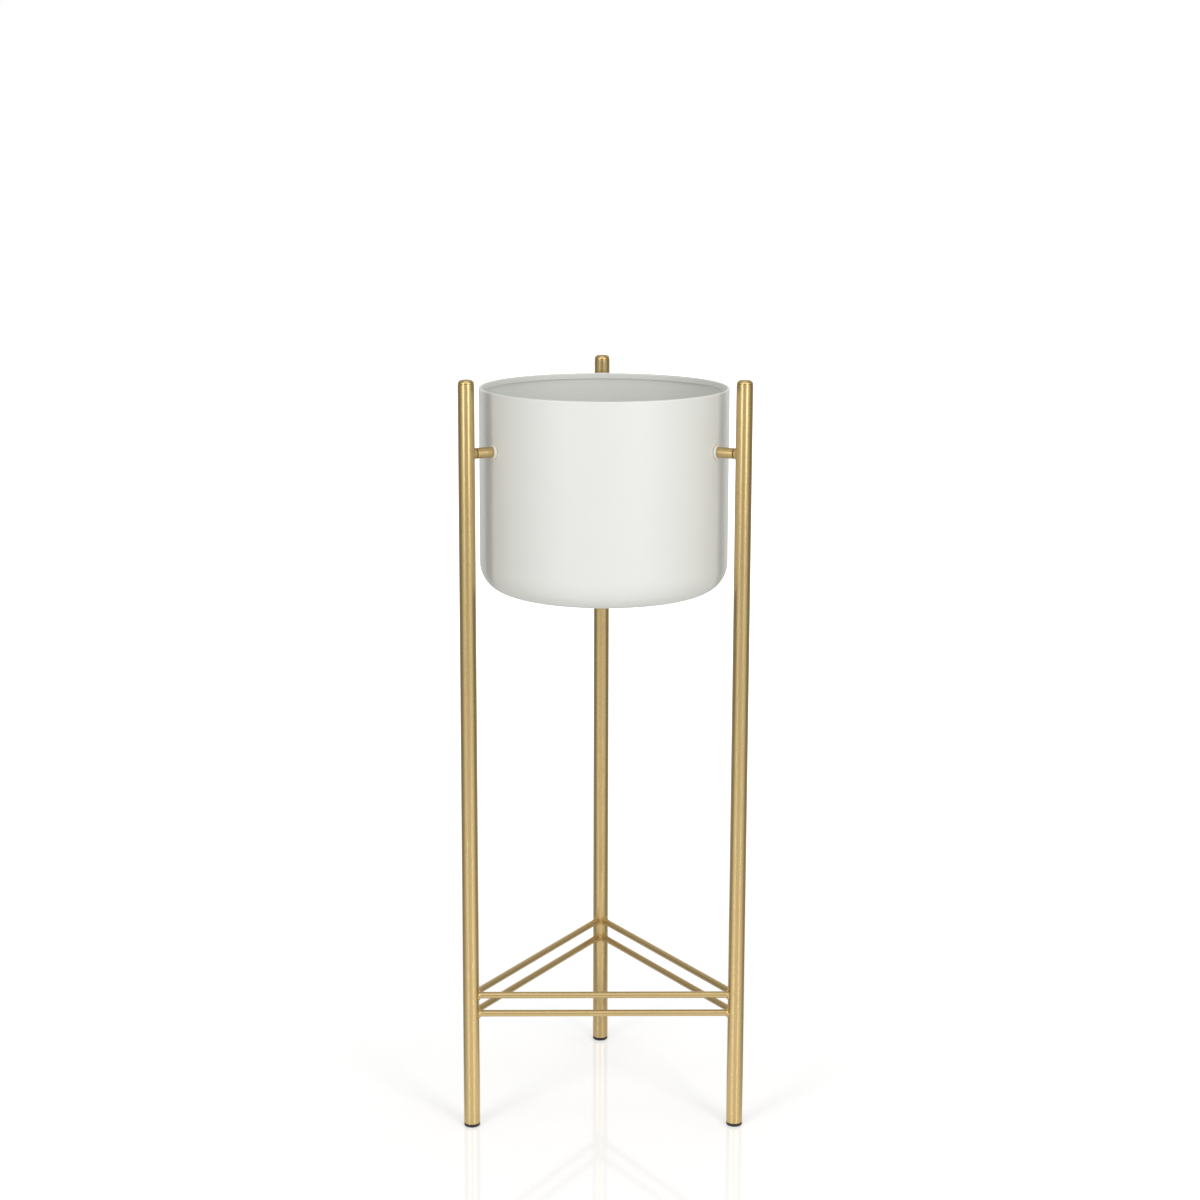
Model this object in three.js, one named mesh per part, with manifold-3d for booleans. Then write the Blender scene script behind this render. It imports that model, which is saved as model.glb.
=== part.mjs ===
// A free-standing plant stand: a white sheet-metal pot hung between three gold tube posts.
//
// Three posts stand at the corners of an equal triangle, two at the front and one at the back.
// Near the top a short arm reaches from each post to the pot: a boss let into the post, a spacer
// sleeve, a nylon washer, and a screw put in from inside the pot that pulls them all together.
// Near the floor two triangles of thin rod, one above the other, are welded between the posts.
//
// Millimetres, +Z up, the two front posts towards -Y. The origin is on the floor, under the
// middle of the stand's box.

import * as THREE from 'three';
import { mergeVertices, toCreasedNormals } from 'three/addons/utils/BufferGeometryUtils.js';
import Module from 'manifold-3d';

// ---------------------------------------------------------------- driving dimensions (mm)

// Overall
const standHeight = 750;            // floor to the top of the posts
const armReach = 21.6;              // clear space between the pot's wall and a post

// Posts: steel tube, closed by a cap at the top and by a plastic plug at the foot
const postDiameter = 16;
const postWall = 1.2;
const capRise = 4;                  // the cap's dome, above the end of the tube
const capShoulder = 5;              // how far in from the side the dome rounds over
const capSpigotLength = 9;
const capWall = 1.4;
const plugHeight = 3;               // the plug's foot, below the end of the tube
const plugEdgeRadius = 1.5;
const plugSpigotLength = 16;
const plugSpigotWall = 1.6;
const plugFinReach = 1.7;
const plugFinThickness = 1.1;
const plugFinPitch = 4;

// Rails: steel rod, welded between the posts at two levels
const railDiameter = 6.5;
const lowerRailHeight = 118.5;      // floor to the middle of the lower rods
const railLevelSpacing = 19;        // lower rods to upper rods, middle to middle
const railWeldLeg = 1.3;            // the weld's rise above the rod
const railWeldLength = 2.6;         // the weld's run along the rod

// Pot: spun and hemmed steel sheet
const potDiameter = 244.5;
const potHeight = 200.5;
const potRimDrop = 15.5;            // the rim, below the tops of the posts
const potWall = 1;
const potCornerRadius = 28;         // outside, where the wall turns into the floor
const hemHeight = 6;                // the sheet folded back down inside the rim
const hemGap = 0.8;                 // between the wall and the folded lip

// Arms: what holds the pot to each post
const armDrop = 71;                 // the middle of the arm, below the top of the post
const sleeveWall = 1.9;
const jointChamfer = 0.5;           // on the edges where the sleeve meets the boss
const bossCollarLength = 1.6;       // from the post's face towards the pot
const bossWeldLeg = 1.1;            // the collar's flare where it meets the post
const bossNeckWall = 1.2;           // round the screw, through the post's wall
const bossNeckReach = 3;            // past the wall, inside the tube
const nylonWasherDiameter = 14;
const nylonWasherThickness = 2.3;
const steelWasherDiameter = 18;
const steelWasherThickness = 1.6;
const screwDiameter = 6;
const screwHeadDiameter = 10.5;
const screwHeadHeight = 3.3;
const screwSocketWidth = 4;         // across the flats of the hexagon
const screwSocketDepth = 2.2;
const screwTipChamfer = 0.8;
const screwTipSetback = 0.5;        // the tip stays this far inside the boss

// Clearances
const seatGap = 0.3;                // between a piece and the face that it seats on
const slideGap = 0.3;               // all round a piece in its hole

// ---------------------------------------------------------------- sizes that follow from them

const postRadius = postDiameter / 2;
const postBore = postRadius - postWall;
const postTop = standHeight - capRise;
const potRadius = potDiameter / 2;
const potBore = potRadius - potWall;
const potRim = standHeight - potRimDrop;
const potFloor = potRim - potHeight;
const postCircle = potRadius + armReach + postRadius;       // stand's axis to a post's axis
const postSpacing = postCircle * Math.sqrt(3);
const railRadius = railDiameter / 2;
const screwRadius = screwDiameter / 2;
const screwHole = screwRadius + slideGap;
const sleeveRadius = screwHole + sleeveWall;
const bossNeckRadius = screwHole + bossNeckWall;
const armHeight = standHeight - armDrop;

// Stations along an arm, as distances from the stand's axis, from the pot out to the post.
// The steel washer is flat, so its rim touches the round wall first: at the middle of a facet,
// where the wall lies nearest to the axis.
const potFacets = 64;
const nearestWall = potBore * Math.cos(Math.PI / potFacets);
const steelWasherRadius = steelWasherDiameter / 2;
const steelWasherOuter = Math.sqrt(nearestWall ** 2 - steelWasherRadius ** 2) - seatGap;
const steelWasherInner = steelWasherOuter - steelWasherThickness;
const screwSeat = steelWasherInner - seatGap;
const nylonWasherInner = potRadius + seatGap;
const nylonWasherOuter = nylonWasherInner + nylonWasherThickness;
const postFace = postCircle - postRadius;
const bossFace = postFace - bossCollarLength;
const bossEnd = postCircle - postBore + bossNeckReach;
const screwTip = bossEnd - screwTipSetback;

// The stand reaches further back, to the back post, than it does forward, to the front of
// the pot. Its axis is moved forward by half the difference, to centre the box on the origin.
const backReach = postCircle + postRadius;
const frontReach = Math.max(potRadius, postCircle / 2 + postRadius);
const axisShift = (frontReach - backReach) / 2;

// ---------------------------------------------------------------- fineness of the other rounds

const postFacets = 24;
const armFacets = 20;
const railFacets = 14;
const cornerSteps = 7;
const filletSteps = 4;
const domeSteps = 5;
const foldSteps = 4;                // even, so that the fold has a point at its very top
const weldSteps = 3;

// ---------------------------------------------------------------- finishes

const finishes = {
  goldPaint: new THREE.MeshStandardMaterial({ color: 0xc6a870, roughness: 0.36, metalness: 0.75 }),
  whitePaint: new THREE.MeshStandardMaterial({ color: 0xe9eae5, roughness: 0.42, metalness: 0 }),
  blackPlastic: new THREE.MeshStandardMaterial({ color: 0x1a1816, roughness: 0.6, metalness: 0 }),
  nylon: new THREE.MeshStandardMaterial({ color: 0xdedfce, roughness: 0.45, metalness: 0 }),
  steel: new THREE.MeshStandardMaterial({ color: 0xb9bbbd, roughness: 0.3, metalness: 1 }),
};

// ---------------------------------------------------------------- geometry helpers

const wasm = await Module();
wasm.setup();

const quarterTurn = Math.PI / 2;
const thirdTurn = (2 * Math.PI) / 3;
const samePoint = 1e-4;             // points nearer than this are one point
const crease = Math.PI / 6;         // faces that meet at a sharper angle show an edge

/** A point of a profile: its distance from the axis, and its place along the axis. */
function at(radius, along) {
  return new THREE.Vector2(Math.max(radius, 0), along);
}

/** The points of a round stretch of a profile, both ends included. */
function arc(centreRadius, centreAlong, radius, fromAngle, toAngle, steps) {
  const points = [];
  for (let step = 0; step <= steps; step += 1) {
    const angle = THREE.MathUtils.lerp(fromAngle, toAngle, step / steps);
    const outward = radius * Math.cos(angle);
    const along = radius * Math.sin(angle);
    points.push(at(centreRadius + outward, centreAlong + along));
  }
  return points;
}

/**
 * A weld's profile along a round bar: it rises by its leg from the bar's surface, steeply at
 * the piece that the bar is welded to and gently out to the toe.
 */
function weld(barRadius, leg, toe, root) {
  const points = [];
  for (let step = 0; step <= weldSteps; step += 1) {
    const share = step / weldSteps;
    points.push(at(barRadius + leg * share ** 2, THREE.MathUtils.lerp(toe, root, share)));
  }
  return points;
}

/** A turned form about the Y axis. A profile that starts off the axis closes on itself. */
function turned(profile, facets) {
  const points = profile.filter((point, index) => (
    index === 0 || point.distanceTo(profile[index - 1]) > samePoint
  ));
  if (points[0].x > 0) {
    points.push(points[0].clone());
  }
  return joined(new THREE.LatheGeometry(points, facets));
}

/** A closed geometry with its shared points joined and its collapsed triangles left out. */
function joined(geometry) {
  const bare = geometry.clone();
  bare.deleteAttribute('normal');
  bare.deleteAttribute('uv');
  const merged = mergeVertices(bare, samePoint);
  const corners = merged.index.array;
  const kept = [];
  for (let first = 0; first < corners.length; first += 3) {
    const [a, b, c] = corners.slice(first, first + 3);
    if (a !== b && b !== c && c !== a) {
      kept.push(a, b, c);
    }
  }
  merged.setIndex(kept);
  return merged;
}

/** Stands a turned form upright, its axis along +Z. */
function upright(geometry) {
  return geometry.rotateX(quarterTurn);
}

/** Lays a turned form along an arm, pointing out along +X at the arm's height. */
function alongArm(geometry) {
  return geometry.rotateZ(-quarterTurn).translate(0, 0, armHeight);
}

/** A closed, joined geometry as a solid that can be cut and added to. */
function toSolid(geometry) {
  const mesh = new wasm.Mesh({
    numProp: 3,
    vertProperties: Float32Array.from(geometry.attributes.position.array),
    triVerts: Uint32Array.from(geometry.index.array),
  });
  return new wasm.Manifold(mesh);
}

/** A solid back as a geometry. */
function toGeometry(solid) {
  const mesh = solid.getMesh();
  const geometry = new THREE.BufferGeometry();
  geometry.setAttribute('position', new THREE.BufferAttribute(mesh.vertProperties, 3));
  geometry.setIndex(new THREE.BufferAttribute(mesh.triVerts, 1));
  return geometry;
}

/** A named sub-part, smooth where it is round and crisp at its edges. */
function piece(name, geometry, finish) {
  const mesh = new THREE.Mesh(toCreasedNormals(geometry, crease), finish);
  mesh.name = name;
  return mesh;
}

/** A plain upright cylinder that cuts a seat for a post standing at x, y. */
function postCutter(x, y) {
  const height = 2 * standHeight;
  const radius = postRadius + seatGap;
  const cylinder = new THREE.CylinderGeometry(radius, radius, height, postFacets);
  return toSolid(joined(upright(cylinder).translate(x, y, 0)));
}

/** A plain cylinder along an arm, between two stations. */
function armCylinder(radius, inner, outer) {
  return toSolid(alongArm(turned([
    at(0, inner),
    at(radius, inner),
    at(radius, outer),
    at(0, outer),
  ], armFacets)));
}

// ---------------------------------------------------------------- posts

/** The tube, with a hole on its inner side that takes the boss's neck. */
function postTube() {
  const tube = upright(turned([
    at(postBore, plugHeight),
    at(postRadius, plugHeight),
    at(postRadius, postTop),
    at(postBore, postTop),
  ], postFacets)).translate(postCircle, 0, 0);
  const neckHole = armCylinder(bossNeckRadius + slideGap, bossFace, postCircle);
  return toGeometry(toSolid(tube).subtract(neckHole));
}

/** The domed cap: a rounded top on a hollow spigot that presses into the tube. */
function postCap() {
  const shoulder = Math.min(capShoulder, postRadius);
  const dome = new THREE.EllipseCurve(
    postRadius - shoulder, postTop, shoulder, capRise, 0, quarterTurn,
  ).getPoints(domeSteps);
  const spigotRadius = postBore - slideGap;
  const spigotFoot = postTop - capSpigotLength;
  return upright(turned([
    at(0, postTop - capWall),
    at(spigotRadius - capWall, postTop - capWall),
    at(spigotRadius - capWall, spigotFoot),
    at(spigotRadius, spigotFoot),
    at(spigotRadius, postTop),
    ...dome,
    at(0, standHeight),
  ], postFacets)).translate(postCircle, 0, 0);
}

/** The foot plug: a round-edged foot under the tube, on a hollow spigot with gripping fins. */
function footPlug() {
  const edge = Math.min(plugEdgeRadius, plugHeight);
  const finRadius = postBore - slideGap;
  const coreRadius = finRadius - plugFinReach;
  const boreRadius = coreRadius - plugSpigotWall;
  const spigotTop = plugHeight + plugSpigotLength;
  const fins = [];
  for (
    let foot = plugHeight + plugFinPitch;
    foot + plugFinPitch <= spigotTop;
    foot += plugFinPitch
  ) {
    fins.push(
      at(coreRadius, foot),
      at(finRadius, foot),
      at(coreRadius, foot + plugFinThickness),
    );
  }
  return upright(turned([
    at(0, 0),
    ...arc(postRadius - edge, edge, edge, -quarterTurn, 0, filletSteps),
    at(postRadius, plugHeight),
    at(coreRadius, plugHeight),
    ...fins,
    at(coreRadius, spigotTop),
    at(boreRadius, spigotTop),
    at(boreRadius, plugHeight),
    at(0, plugHeight),
  ], postFacets)).translate(postCircle, 0, 0);
}

// ---------------------------------------------------------------- arms

/**
 * The boss: a collar that flares out over the post like a weld, coped to the round of the
 * tube, with a neck through the tube's wall and a hole for the screw right through.
 */
function armBoss() {
  const collar = toSolid(alongArm(turned([
    at(0, bossFace),
    at(sleeveRadius - jointChamfer, bossFace),
    ...weld(sleeveRadius, bossWeldLeg, bossFace + jointChamfer, postFace),
    at(sleeveRadius + bossWeldLeg, postCircle),
    at(0, postCircle),
  ], armFacets)));
  const neck = armCylinder(bossNeckRadius, bossFace, bossEnd);
  const hole = armCylinder(screwHole, bossFace - bossNeckReach, bossEnd + bossNeckReach);
  const coped = collar.subtract(postCutter(postCircle, 0));
  return toGeometry(coped.add(neck).subtract(hole));
}

/** The spacer sleeve between the nylon washer and the boss, chamfered where it meets the boss. */
function armSleeve() {
  const inner = nylonWasherOuter + seatGap;
  const outer = bossFace - seatGap;
  return alongArm(turned([
    at(screwHole, inner),
    at(sleeveRadius, inner),
    at(sleeveRadius, outer - jointChamfer),
    at(sleeveRadius - jointChamfer, outer),
    at(screwHole, outer),
  ], armFacets));
}

/** A flat washer between two stations of the arm. */
function armWasher(radius, inner, outer) {
  return alongArm(turned([
    at(screwHole, inner),
    at(radius, inner),
    at(radius, outer),
    at(screwHole, outer),
  ], armFacets));
}

/** The button-head screw: its head inside the pot, its tip in the boss. */
function armScrew() {
  const headRadius = screwHeadDiameter / 2;
  const headTop = screwSeat - screwHeadHeight;
  const dome = new THREE.EllipseCurve(
    0, screwSeat, headRadius, screwHeadHeight, -quarterTurn, 0,
  ).getPoints(filletSteps);
  const blank = alongArm(turned([
    at(0, headTop),
    ...dome.slice(1),
    at(screwRadius, screwSeat),
    at(screwRadius, screwTip - screwTipChamfer),
    at(screwRadius - screwTipChamfer, screwTip),
    at(0, screwTip),
  ], armFacets));
  const socketRadius = screwSocketWidth / Math.sqrt(3);
  const hexagonSides = 6;
  const socket = alongArm(turned([
    at(0, headTop - screwSocketDepth),
    at(socketRadius, headTop - screwSocketDepth),
    at(socketRadius, headTop + screwSocketDepth),
    at(0, headTop + screwSocketDepth),
  ], hexagonSides));
  return toGeometry(toSolid(blank).subtract(toSolid(socket)));
}

// ---------------------------------------------------------------- rails

/**
 * A rod along Y between two posts. Each end swells into its weld, is mitred to the next rod
 * on the same post, and is coped to the round of the post.
 */
function rail(height) {
  const half = postSpacing / 2;
  const middle = postCircle / 2;
  const weldRadius = railRadius + railWeldLeg;
  const weldRoot = half - postRadius;
  const leftEnd = [
    ...weld(railRadius, railWeldLeg, weldRoot - railWeldLength, weldRoot),
    at(weldRadius, half),
    at(0, half),
  ];
  const rightEnd = leftEnd.map((point) => at(point.x, -point.y)).reverse();
  const rod = turned([...rightEnd, ...leftEnd], railFacets).translate(middle, 0, height);

  // In plan each rod keeps to a rhombus with its long corners near the two posts' axes, so
  // that the rods that meet on a post at sixty degrees stop short of each other.
  const long = half - seatGap;
  const short = long * Math.tan(Math.PI / 6);
  const rhombus = new THREE.Shape([
    new THREE.Vector2(middle, -long),
    new THREE.Vector2(middle + short, 0),
    new THREE.Vector2(middle, long),
    new THREE.Vector2(middle - short, 0),
  ]);
  const depth = 4 * weldRadius;
  const mitre = new THREE.ExtrudeGeometry(rhombus, { depth, bevelEnabled: false });
  mitre.translate(0, 0, height - depth / 2);

  const mitred = toSolid(rod).intersect(toSolid(joined(mitre)));
  const coped = mitred.subtract(postCutter(middle, -half)).subtract(postCutter(middle, half));
  return toGeometry(coped);
}

// ---------------------------------------------------------------- pot

/**
 * The pot: one sheet from the middle of the floor, round the corner, up the wall, over the
 * rim and down inside as an open hem. Three holes take the screws.
 */
function pot() {
  const corner = Math.min(potCornerRadius, potRadius - potWall);
  const foldRadius = potWall + hemGap / 2;
  const foldCentre = potRim - foldRadius;
  const lipBack = potRadius - 2 * foldRadius + potWall;
  const blank = upright(turned([
    at(0, potFloor),
    ...arc(potRadius - corner, potFloor + corner, corner, -quarterTurn, 0, cornerSteps),
    ...arc(potRadius - foldRadius, foldCentre, foldRadius, 0, Math.PI, foldSteps),
    at(lipBack - potWall, potRim - hemHeight),
    at(lipBack, potRim - hemHeight),
    ...arc(potRadius - foldRadius, foldCentre, hemGap / 2, Math.PI, 0, foldSteps),
    ...arc(potRadius - corner, potFloor + corner, corner - potWall, 0, -quarterTurn, cornerSteps),
    at(0, potFloor + potWall),
  ], potFacets));
  const hole = armCylinder(screwHole, screwSeat, nylonWasherOuter);
  let shell = toSolid(blank);
  for (const arm of arms) {
    shell = shell.subtract(hole.rotate([0, 0, THREE.MathUtils.radToDeg(arm.angle)]));
  }
  return toGeometry(shell);
}

// ---------------------------------------------------------------- assembly

// The arms point at the posts, and each side of the triangle lies opposite a post.
const arms = [
  { name: 'back', angle: quarterTurn, opposite: 'front' },
  { name: 'front_left', angle: quarterTurn + thirdTurn, opposite: 'right' },
  { name: 'front_right', angle: quarterTurn - thirdTurn, opposite: 'left' },
];

const railLevels = [
  { name: 'lower', height: lowerRailHeight },
  { name: 'upper', height: lowerRailHeight + railLevelSpacing },
];

/** One post with its cap and plug, and the arm that runs in from it to the pot. */
function postAndArm(arm) {
  const group = new THREE.Group();
  group.rotation.z = arm.angle;
  const nylonWasher = armWasher(nylonWasherDiameter / 2, nylonWasherInner, nylonWasherOuter);
  const steelWasher = armWasher(steelWasherRadius, steelWasherInner, steelWasherOuter);
  group.add(
    piece(`post_${arm.name}`, postTube(), finishes.goldPaint),
    piece(`post_cap_${arm.name}`, postCap(), finishes.goldPaint),
    piece(`foot_plug_${arm.name}`, footPlug(), finishes.blackPlastic),
    piece(`arm_boss_${arm.name}`, armBoss(), finishes.goldPaint),
    piece(`arm_sleeve_${arm.name}`, armSleeve(), finishes.goldPaint),
    piece(`nylon_washer_${arm.name}`, nylonWasher, finishes.nylon),
    piece(`steel_washer_${arm.name}`, steelWasher, finishes.steel),
    piece(`pot_screw_${arm.name}`, armScrew(), finishes.steel),
  );
  return group;
}

/** The rods on the side of the triangle that lies opposite a post, one at each level. */
function sideRails(arm) {
  const group = new THREE.Group();
  group.rotation.z = arm.angle + Math.PI;
  for (const level of railLevels) {
    group.add(piece(`rail_${level.name}_${arm.opposite}`, rail(level.height), finishes.goldPaint));
  }
  return group;
}

const plantStand = new THREE.Group();
plantStand.position.y = axisShift;
plantStand.add(piece('pot', pot(), finishes.whitePaint));
for (const arm of arms) {
  plantStand.add(postAndArm(arm), sideRails(arm));
}

export default plantStand;
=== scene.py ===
# %% [markdown]
# # A tall plant stand
#
# The stand is an off-white sheet-metal pot that hangs between three slim gold posts. Two
# triangles of thin rod, one above the other, are welded between the posts near the floor.
#
# An exact engineering model of it already exists. This lesson loads that model as a fixed
# frame, makes a finer mesh for each of its pieces, gives each one its finish, and lights
# the whole for a product photograph.

import math

import bmesh
import bpy
from mathutils import Matrix, Vector


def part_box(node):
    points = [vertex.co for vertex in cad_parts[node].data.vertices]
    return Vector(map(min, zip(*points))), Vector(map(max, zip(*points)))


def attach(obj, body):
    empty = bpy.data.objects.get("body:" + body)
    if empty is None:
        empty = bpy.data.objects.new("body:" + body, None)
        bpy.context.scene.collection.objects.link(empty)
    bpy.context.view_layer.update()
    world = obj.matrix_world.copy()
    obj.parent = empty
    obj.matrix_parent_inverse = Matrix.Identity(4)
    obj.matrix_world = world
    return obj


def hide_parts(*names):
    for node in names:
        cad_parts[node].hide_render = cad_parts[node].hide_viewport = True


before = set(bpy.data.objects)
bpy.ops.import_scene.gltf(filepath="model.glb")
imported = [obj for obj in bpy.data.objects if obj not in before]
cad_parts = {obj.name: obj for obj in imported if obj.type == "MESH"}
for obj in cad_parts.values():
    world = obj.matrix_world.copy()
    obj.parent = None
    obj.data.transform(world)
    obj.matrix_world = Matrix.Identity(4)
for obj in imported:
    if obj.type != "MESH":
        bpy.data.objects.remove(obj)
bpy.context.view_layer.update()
print("pieces in the frame:", len(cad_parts))

# %% [markdown]
# ## Measure before making
#
# Every size that the frame can give is measured on it, so a change to the engineering model
# carries over. The small sizes that a box can't show, such as a wall's thickness or an
# edge's radius, are written down once, in millimetres, next to the piece that uses them.
#
# Blender works in metres, so MM turns a size in millimetres into metres. A place along an
# arm is called a station: its distance from the upright line through the pot's middle.

# %% Measure the frame
MM = 0.001


def add_object(name, data):
    """A new object in the scene, made of a mesh, a camera or a lamp."""
    obj = bpy.data.objects.new(name, data)
    bpy.context.scene.collection.objects.link(obj)
    return obj


def middle(node):
    """The middle of a node's box."""
    low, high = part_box(node)
    return (low + high) / 2


def extent(node):
    """The three sides of a node's box."""
    low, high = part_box(node)
    return high - low


STAND_AXIS = Vector((middle("pot").x, middle("pot").y, 0))


def stations(node):
    """Where a piece of the back arm, which lies along +Y, starts and ends."""
    low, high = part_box(node)
    return low.y - STAND_AXIS.y, high.y - STAND_AXIS.y


POT_RADIUS = extent("pot").x / 2
POST_RADIUS = extent("post_back").x / 2
POST_CIRCLE = middle("post_back").y - STAND_AXIS.y
POST_SPACING = POST_CIRCLE * math.sqrt(3)
ARM_HEIGHT = middle("arm_sleeve_back").z
POSTS = {name: middle(f"post_{name}") for name in ("back", "front_left", "front_right")}
print("posts, in mm from the stand's axis:", round(POST_CIRCLE / MM, 2))
print("pot, in mm across:", round(2 * POT_RADIUS / MM, 2))


def direction(name):
    """The direction of an arm, from the stand's axis out to its post."""
    away = POSTS[name] - STAND_AXIS
    return math.atan2(away.y, away.x)


# %% [markdown]
# ## The camera
#
# The photographer stood about 2.4 m away with a long lens, and looked down a little, so the
# pot's rim shows as a flat ellipse. These numbers were fitted to places measured on the
# photograph: the posts' ends, the rods, the rim and the pot's lowest point.

# %% Place the camera
LENS = 72.55
SENSOR_WIDTH = 36
CAMERA_PLACE = Vector((-0.036, -2.3668, 1.008))
CAMERA_YAW = 0.0138
CAMERA_PITCH = 0.204
CAMERA_ROLL = -0.0027

camera_data = bpy.data.cameras.new("photo_camera")
camera_data.sensor_width = SENSOR_WIDTH
camera_data.lens = LENS
camera = add_object("photo_camera", camera_data)
camera.matrix_world = (
    Matrix.Translation(CAMERA_PLACE)
    @ Matrix.Rotation(-CAMERA_YAW, 4, "Z")
    @ Matrix.Rotation(math.pi / 2 - CAMERA_PITCH, 4, "X")
    @ Matrix.Rotation(-CAMERA_ROLL, 4, "Z")
)
bpy.context.scene.camera = camera
print("camera looks down by", round(math.degrees(CAMERA_PITCH), 1), "degrees")

# %% [markdown]
# ## Sums that become nodes
#
# Materials and Geometry Nodes are both trees of nodes. A tree built by hand needs a Math
# node for each plus and times, which is slow to read as code. The small class below wraps a
# socket, so that a formula written in Python adds its own Math nodes to the tree.

# %% Helpers for node trees


def feed(tree, socket, value):
    """Links a sum or a socket to an input, or sets a plain value on it."""
    if isinstance(value, Sum):
        value = value.socket
    if isinstance(value, bpy.types.NodeSocket):
        tree.links.new(value, socket)
    else:
        socket.default_value = value


def add_node(tree, kind, values=None, **settings):
    """Adds a node, with its settings and the values of its named or numbered inputs."""
    node = tree.nodes.new(kind)
    for name, setting in settings.items():
        setattr(node, name, setting)
    for name, value in (values or {}).items():
        feed(tree, node.inputs[name], value)
    return node


def calculate(tree, operation, *values, clamp=False):
    """A Math node on one, two or three values."""
    node = add_node(tree, "ShaderNodeMath", operation=operation, use_clamp=clamp)
    for socket, value in zip(node.inputs, values):
        feed(tree, socket, value)
    return Sum(tree, node.outputs[0])


class Sum:
    """A number inside a tree. Plus, minus, times and so on add Math nodes."""

    def __init__(self, tree, socket):
        self.tree = tree
        self.socket = socket

    def __add__(self, other):
        return calculate(self.tree, "ADD", self, other)

    def __sub__(self, other):
        return calculate(self.tree, "SUBTRACT", self, other)

    def __rsub__(self, other):
        return calculate(self.tree, "SUBTRACT", other, self)

    def __mul__(self, other):
        return calculate(self.tree, "MULTIPLY", self, other)

    def __truediv__(self, other):
        return calculate(self.tree, "DIVIDE", self, other)

    def __pow__(self, other):
        return calculate(self.tree, "POWER", self, other)

    __radd__ = __add__
    __rmul__ = __mul__

    def root(self):
        return calculate(self.tree, "SQRT", self)

    def size(self):
        return calculate(self.tree, "ABSOLUTE", self)

    def sign(self):
        return calculate(self.tree, "SIGN", self)

    def larger(self, other):
        return calculate(self.tree, "MAXIMUM", self, other)

    def share(self, start, end):
        """0 below the start, 1 above the end and a straight slope between them."""
        return calculate(self.tree, "DIVIDE", self - start, end - start, clamp=True)

    def between(self, start, full, fading, end):
        """1 from full to fading, 0 outside the start and the end, and slopes between."""
        return self.share(start, full) * (1 - self.share(fading, end))


def apart(tree, vector):
    """The X, Y and Z of a vector, as sums."""
    node = add_node(tree, "ShaderNodeSeparateXYZ", {0: vector})
    return [Sum(tree, output) for output in node.outputs]


def together(tree, x, y, z):
    """A vector from three sums or numbers."""
    return add_node(tree, "ShaderNodeCombineXYZ", {0: x, 1: y, 2: z}).outputs[0]


# %% [markdown]
# ## The floor and the white room
#
# The photograph is cut out on pure white, with no horizon. Only a faint mirror image stands
# under each foot. A plain white floor under a white world gives that look. The camera sees
# the world at strength 1, which is exactly white, and through a clear material it would too.
# Scattered light gets a lower level, so that the lamps still shape the pot, and a little more
# of it comes from the right.
#
# A shiny tube in an all-white room looks flat. So a photographer hangs dark cards to the left
# and the right, and the tube's edges mirror them. Here the cards are darker parts of the
# white room and of the floor that only reflections see. Beside each card is a bright panel,
# above the horizon, so that the upright tubes miss it and the arms mirror it as a line along
# the sleeve. A third panel, high above the camera, draws the line along the front rods. Cards
# and panels are fixed in the room and don't turn with the camera.
#
# A place round the room is given as a share: 0 is behind the stand and 1 is on the camera's
# side. A height is the upward part of a direction: 0 is the horizon and 1 is straight up.

# %% Build the white room
NEVER_ZERO = 0.001
WORLD_FILL = 0.5
FILL_SLOPE = 0.14
OVERHEAD_LEVEL = 0.45
OVERHEAD_HEIGHT = (0.25, 0.8)
SIDE_LEVELS = ((0.0, 0.95), (0.16, 0.75), (0.34, 0.26), (0.55, 0.26), (0.75, 0.42), (1.0, 0.6))
SIDE_PANEL_LEVEL = 1.2
SIDE_PANEL_PLACE = (0.62, 0.7, 0.8, 0.88)
SIDE_PANEL_HEIGHT = (0.08, 0.2, 0.45, 0.6)
FRONT_PANEL_LEVEL = 1.0
FRONT_PANEL_PLACE = (0.85, 0.95)
FRONT_PANEL_HEIGHT = (0.45, 0.58, 0.78, 0.9)

world = bpy.data.worlds.new("white_room")
bpy.context.scene.world = world
world.use_nodes = True
room = world.node_tree
rays = add_node(room, "ShaderNodeLightPath")
ray_x, ray_y, ray_z = apart(room, add_node(room, "ShaderNodeTexCoord").outputs["Generated"])
level_length = (ray_x * ray_x + ray_y * ray_y).root().larger(NEVER_ZERO)
facing_share = ray_y * -0.5 / level_length + 0.5
side_node = add_node(room, "ShaderNodeValToRGB", {0: facing_share})
side_ramp = side_node.color_ramp
while len(side_ramp.elements) < len(SIDE_LEVELS):
    side_ramp.elements.new(0.5)
for element, (place, level) in zip(side_ramp.elements, SIDE_LEVELS):
    element.position = place
    element.color = (level, level, level, 1)
side_light = Sum(room, side_node.outputs[0])
overhead = ray_z.share(*OVERHEAD_HEIGHT)
side_panel = facing_share.between(*SIDE_PANEL_PLACE) * ray_z.between(*SIDE_PANEL_HEIGHT)
front_panel = facing_share.share(*FRONT_PANEL_PLACE) * ray_z.between(*FRONT_PANEL_HEIGHT)
panels = side_panel * SIDE_PANEL_LEVEL + front_panel * FRONT_PANEL_LEVEL
mirrored_level = side_light + overhead * (OVERHEAD_LEVEL - side_light) + panels
seen_directly = Sum(room, rays.outputs["Is Camera Ray"]).larger(
    Sum(room, rays.outputs["Is Transmission Ray"])
)
is_glossy = Sum(room, rays.outputs["Is Glossy Ray"])
fill_level = WORLD_FILL + FILL_SLOPE * ray_x
room_level = (
    seen_directly
    + (1 - seen_directly) * (is_glossy * mirrored_level + (1 - is_glossy) * fill_level)
)
feed(room, room.nodes["Background"].inputs["Strength"], room_level)
room.nodes["Background"].inputs["Color"].default_value = (1, 1, 1, 1)
print("levels round the room:", [level for place, level in SIDE_LEVELS])

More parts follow.
